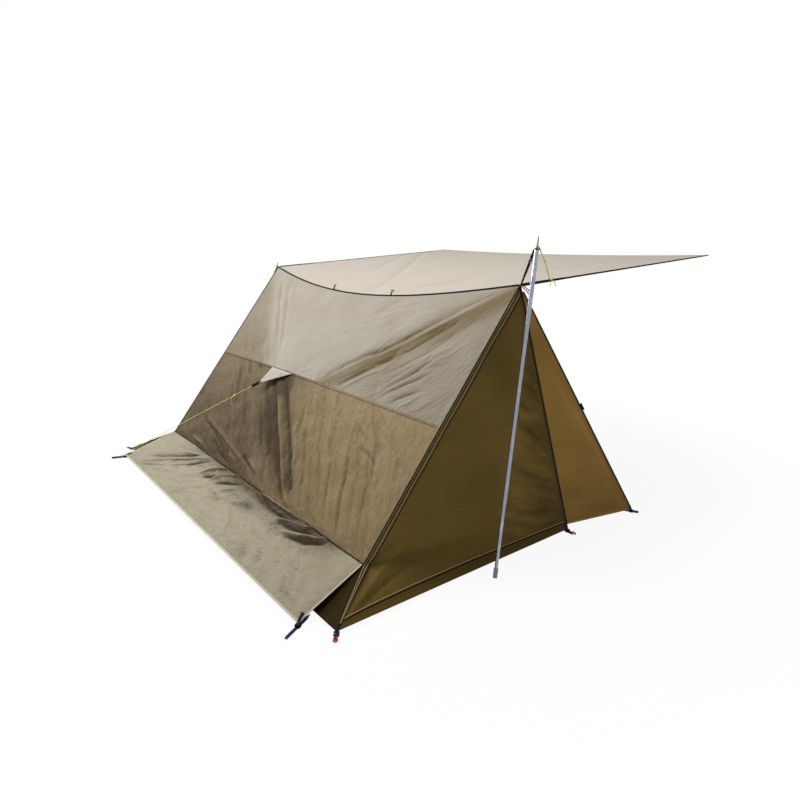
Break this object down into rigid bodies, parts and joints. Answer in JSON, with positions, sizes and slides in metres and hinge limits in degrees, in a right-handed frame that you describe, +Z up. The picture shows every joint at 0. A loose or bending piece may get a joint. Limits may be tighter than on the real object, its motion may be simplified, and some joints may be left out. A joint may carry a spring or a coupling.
{
  "type": "lean-to tent",
  "caption": "Lean-to tent with a sloping rear wall, storm flap, side walls with opened wings, front awning, telescopic end poles, guy line, pegs and corner loops.",
  "frame": {"origin": "middle of the ground plan, on the ground", "axes": "+X along the ridge to the end whose pole stands above the peak, +Y out under the awning, +Z up"},
  "size_m": [3.0558, 3.1731, 1.5535],
  "materials": {
    "alloy_grey": "anodised blue grey",
    "canvas_dark": "coated nylon, khaki, in shade",
    "canvas_light": "coated nylon, khaki",
    "cord_red": "braided cord, red",
    "cord_yellow": "braided cord, yellow green",
    "peg_blue": "anodised dark blue",
    "plastic_dark": "moulded, dark grey",
    "spike_steel": "turned, dark grey blue",
    "tape_black": "woven nylon tape, navy black"
  },
  "bodies": {
    "shelter": {"guy_line": "cord_yellow", "loop_flap_left": "tape_black", "loop_flap_right": "tape_black", "loop_front_left": "tape_black", "loop_front_right": "tape_black", "loop_rear_left": "tape_black", "loop_rear_right": "tape_black", "peak_strap_left": "tape_black", "peak_strap_right": "tape_black", "peg_flap_left": "peg_blue", "peg_flap_right": "peg_blue", "peg_front_left": "peg_blue", "peg_front_right": "peg_blue", "peg_rear_left": "peg_blue", "peg_rear_right": "peg_blue", "pull_front_left": "cord_red", "pull_front_right": "cord_red", "pull_rear_left": "cord_red", "pull_rear_right": "cord_red", "rear_ground_band": "canvas_dark", "rear_lower_panel": "canvas_light", "rear_seam_tape": "canvas_light", "rear_upper_panel": "canvas_light", "ridge_piping": "tape_black", "side_piping_left": "tape_black", "side_piping_right": "tape_black", "side_wall_left": "canvas_dark", "side_wall_right": "canvas_dark", "storm_flap": "canvas_light", "tieout_gusset": "canvas_light", "tieout_loop": "tape_black"},
    "awning": {"awning": "canvas_light", "awning_piping_right": "tape_black", "awning_piping_left": "tape_black"},
    "wing_right": {"wing_right": "canvas_dark", "wing_piping_right": "tape_black", "wing_tab_right": "tape_black", "loop_wing_right": "tape_black", "peg_wing_right": "peg_blue"},
    "wing_left": {"wing_left": "canvas_dark", "wing_piping_left": "tape_black", "wing_tab_left": "tape_black", "loop_wing_left": "tape_black", "peg_wing_left": "peg_blue"},
    "pole_right": {"pole_right_grommet": "tape_black", "pole_right_middle_tube": "alloy_grey", "pole_right_spike": "spike_steel", "pole_right_upper_tube": "alloy_grey", "top_guy": "cord_yellow"},
    "pole_right_lower": {"pole_right_lower_tube": "alloy_grey", "pole_right_foot": "plastic_dark"},
    "pole_left": {"pole_left_foot": "plastic_dark", "pole_left_grommet": "tape_black", "pole_left_lower_tube": "alloy_grey", "pole_left_middle_tube": "alloy_grey", "pole_left_spike": "spike_steel", "pole_left_upper_tube": "alloy_grey"},
    "guy_knot": {"guy_knot": "cord_yellow"},
    "toggle_1": {"toggle_1": "plastic_dark"},
    "toggle_2": {"toggle_2": "plastic_dark"}
  },
  "joints": [
    {"name": "awning_fold", "type": "hinge", "parent": "shelter", "child": "awning", "pos_m": [0, -0.2175, 1.18721], "axis": [1, 0, 0], "range_deg": [-44, 0]},
    {"name": "wing_right_swing", "type": "hinge", "parent": "shelter", "child": "wing_right", "pos_m": [1.42, 0.0735, 0.0169], "axis": [-0.126, -0.2157, 0.9683], "range_deg": [-45, 0]},
    {"name": "wing_left_swing", "type": "hinge", "parent": "shelter", "child": "wing_left", "pos_m": [-1.42, 0.0735, 0.0169], "axis": [0.126, -0.2157, 0.9683], "range_deg": [0, 45]},
    {"name": "pole_right_swing", "type": "hinge", "parent": "shelter", "child": "pole_right", "pos_m": [1.3136, -0.1865, 1.4915], "axis": [0, 1, 0], "range_deg": [-20, 0]},
    {"name": "pole_left_swing", "type": "hinge", "parent": "shelter", "child": "pole_left", "pos_m": [-1.278, -0.2175, 1.328], "axis": [0, 1, 0], "range_deg": [0, 20]},
    {"name": "pole_right_telescope", "type": "slide", "parent": "pole_right", "child": "pole_right_lower", "axis": [-0.1255, 0.257, 0.9582], "range_m": [0, 0.22]},
    {"name": "guy_knot_slide", "type": "slide", "parent": "shelter", "child": "guy_knot", "axis": [-0.7075, -0.523, -0.4753], "range_m": [-0.1, 0.45]},
    {"name": "toggle_1_swing", "type": "hinge", "parent": "shelter", "child": "toggle_1", "pos_m": [-0.445, -0.2175, 1.19528], "axis": [1, 0, 0], "range_deg": [0, 100]},
    {"name": "toggle_2_swing", "type": "hinge", "parent": "shelter", "child": "toggle_2", "pos_m": [0.215, -0.2175, 1.20015], "axis": [1, 0, 0], "range_deg": [0, 100]}
  ]
}
